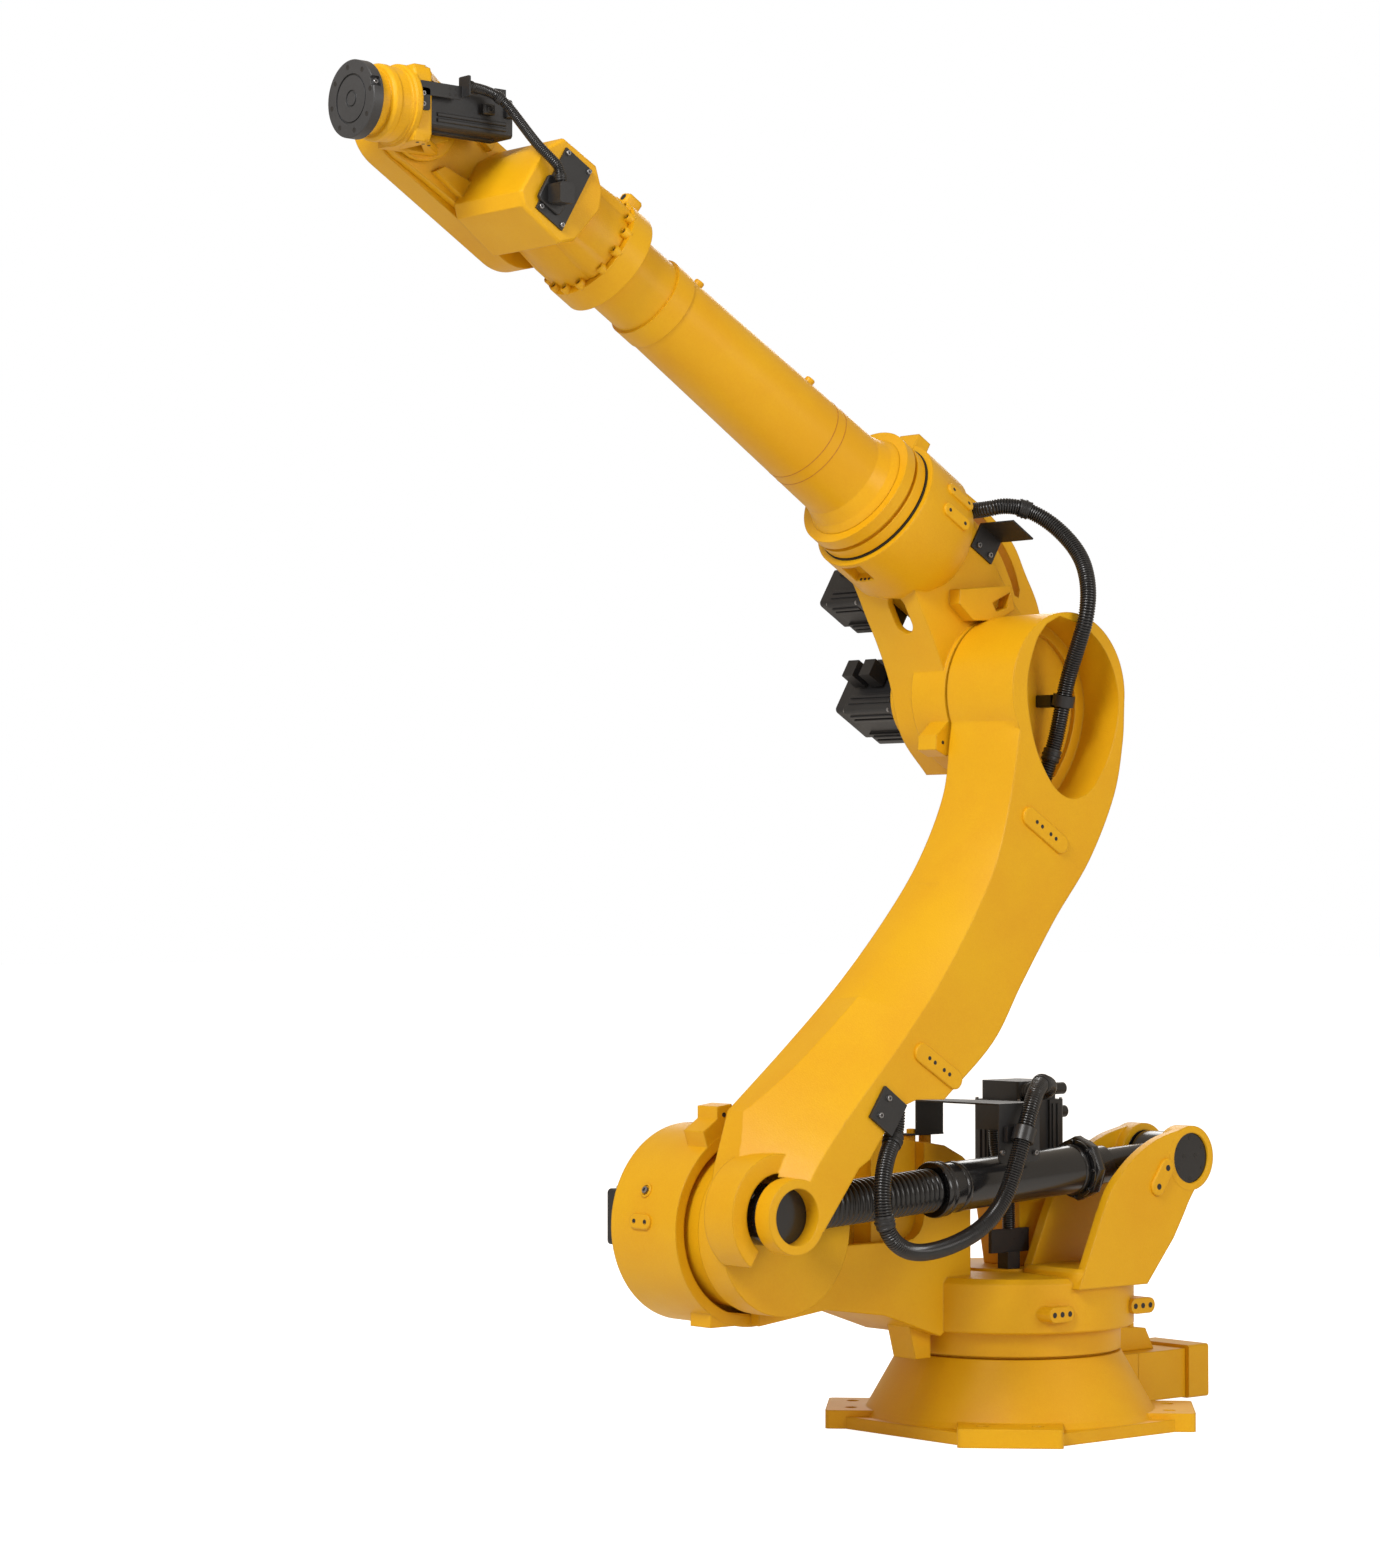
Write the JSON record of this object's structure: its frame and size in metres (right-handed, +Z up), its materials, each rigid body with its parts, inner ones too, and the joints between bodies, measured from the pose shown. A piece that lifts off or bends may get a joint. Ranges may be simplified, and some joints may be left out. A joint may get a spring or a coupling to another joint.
{
  "type": "industrial robot arm",
  "caption": "Floor-mounted articulated handling arm with a round base, turning turret, leaning lower arm with a spring balancer, tubular forearm and a bending wrist with a tool flange.",
  "frame": {"origin": "on axis 1, at the underside of the base plate, which stands on the floor", "axes": "+Z up along axis 1, +X forward from the turret towards axis 2 and the tool flange, +Y to the arm's left, where the balancer is"},
  "size_m": [1.9603, 0.5949, 2.299],
  "materials": {
    "yellow_paint": "semi-gloss yellow-orange paint on fine cast texture",
    "black_paint": "satin black paint on machined and cast metal",
    "black_plate": "matt black powder coat on bent sheet",
    "black_plastic": "moulded black connector plastic",
    "hose": "glossy black corrugated conduit"
  },
  "bodies": {
    "base": {"base_casting": "yellow_paint", "base_cable_box": "yellow_paint", "base_end_plate": "yellow_paint", "base_connector": "yellow_paint", "axis1_stop_block": "yellow_paint"},
    "turret": {"turret_casting": "yellow_paint", "balancer_rear_pin": "black_paint", "axis1_pedestal": "yellow_paint", "axis1_motor": "black_paint", "axis1_connectors": "black_plastic", "axis2_motor": "black_paint", "axis2_connectors": "black_plastic", "turret_cable_bracket": "black_plate", "turret_cable_guide": "black_plate", "turret_riser_hose": "hose", "turret_hose_clamp": "black_plastic", "lower_hose": "hose"},
    "lower_arm": {"lower_arm_casting": "yellow_paint", "balancer_front_pin": "black_paint", "lower_hose_plate": "black_plate", "arm_hose_clip": "black_plastic"},
    "elbow": {"elbow_casting": "yellow_paint", "axis3_motor": "black_paint", "axis3_connectors": "black_plastic", "axis4_motor": "black_paint", "elbow_hose_bracket": "black_plate", "elbow_far_bracket": "black_plate", "elbow_hose": "hose"},
    "forearm": {"forearm_root_ring": "yellow_paint", "forearm_tube": "yellow_paint", "forearm_front_ring": "yellow_paint", "wrist_housing": "yellow_paint", "belt_cover": "yellow_paint", "wrist_gland_plate": "black_plate", "wrist_gland": "black_plastic", "wrist_hose": "hose"},
    "wrist": {"wrist_casting": "yellow_paint", "axis6_motor": "black_paint", "axis6_connectors": "black_plastic", "wrist_hose_bracket": "black_plate"},
    "flange": {"tool_flange": "black_paint"},
    "balancer": {"balancer_cylinder": "black_paint", "balancer_front_cap": "black_paint", "balancer_collar": "black_paint", "balancer_tail": "black_paint"},
    "balancer_rod": {"balancer_rod": "black_paint", "balancer_bellows": "hose"}
  },
  "joints": [
    {"name": "axis1_turn", "type": "hinge", "parent": "base", "child": "turret", "pos_m": [0, 0, 0.2], "axis": [0, 0, 1], "range_deg": [-165, 165]},
    {"name": "axis2_lean", "type": "hinge", "parent": "turret", "child": "lower_arm", "pos_m": [0.65, 0, 0.392], "axis": [0, 1, 0], "range_deg": [-10, 75], "deforming": ["lower_hose"]},
    {"name": "axis3_lift", "type": "hinge", "parent": "lower_arm", "child": "elbow", "pos_m": [0.0841, 0, 1.31187], "axis": [0, -1, 0], "range_deg": [-60, 80], "deforming": ["elbow_hose"]},
    {"name": "axis4_roll", "type": "hinge", "parent": "elbow", "child": "forearm", "pos_m": [0.00323, 0, 1.44644], "axis": [0.8572, 0, 0.515], "range_deg": [-300, 300]},
    {"name": "axis5_bend", "type": "hinge", "parent": "forearm", "child": "wrist", "pos_m": [1.28899, 0, 2.219], "axis": [0, -1, 0], "range_deg": [-84, 146], "deforming": ["wrist_hose"]},
    {"name": "axis6_spin", "type": "hinge", "parent": "wrist", "child": "flange", "pos_m": [1.28899, 0, 2.219], "axis": [1, 0, 0], "range_deg": [-350, 350]},
    {"name": "balancer_tilt", "type": "hinge", "parent": "turret", "child": "balancer", "pos_m": [-0.228, 0.159, 0.481], "axis": [0, 1, 0], "range_deg": [-1, 7]},
    {"name": "balancer_slide", "type": "slide", "parent": "balancer", "child": "balancer_rod", "axis": [0.9982, 0, -0.0594], "range_m": [-0.01, 0.003], "deforming": ["balancer_bellows"]}
  ],
  "couplings": [
    {"joint": "balancer_tilt", "follows": "axis2_lean", "ratio": 0.0845},
    {"joint": "balancer_slide", "follows": "axis2_lean", "m_per_rad": -0.006}
  ]
}
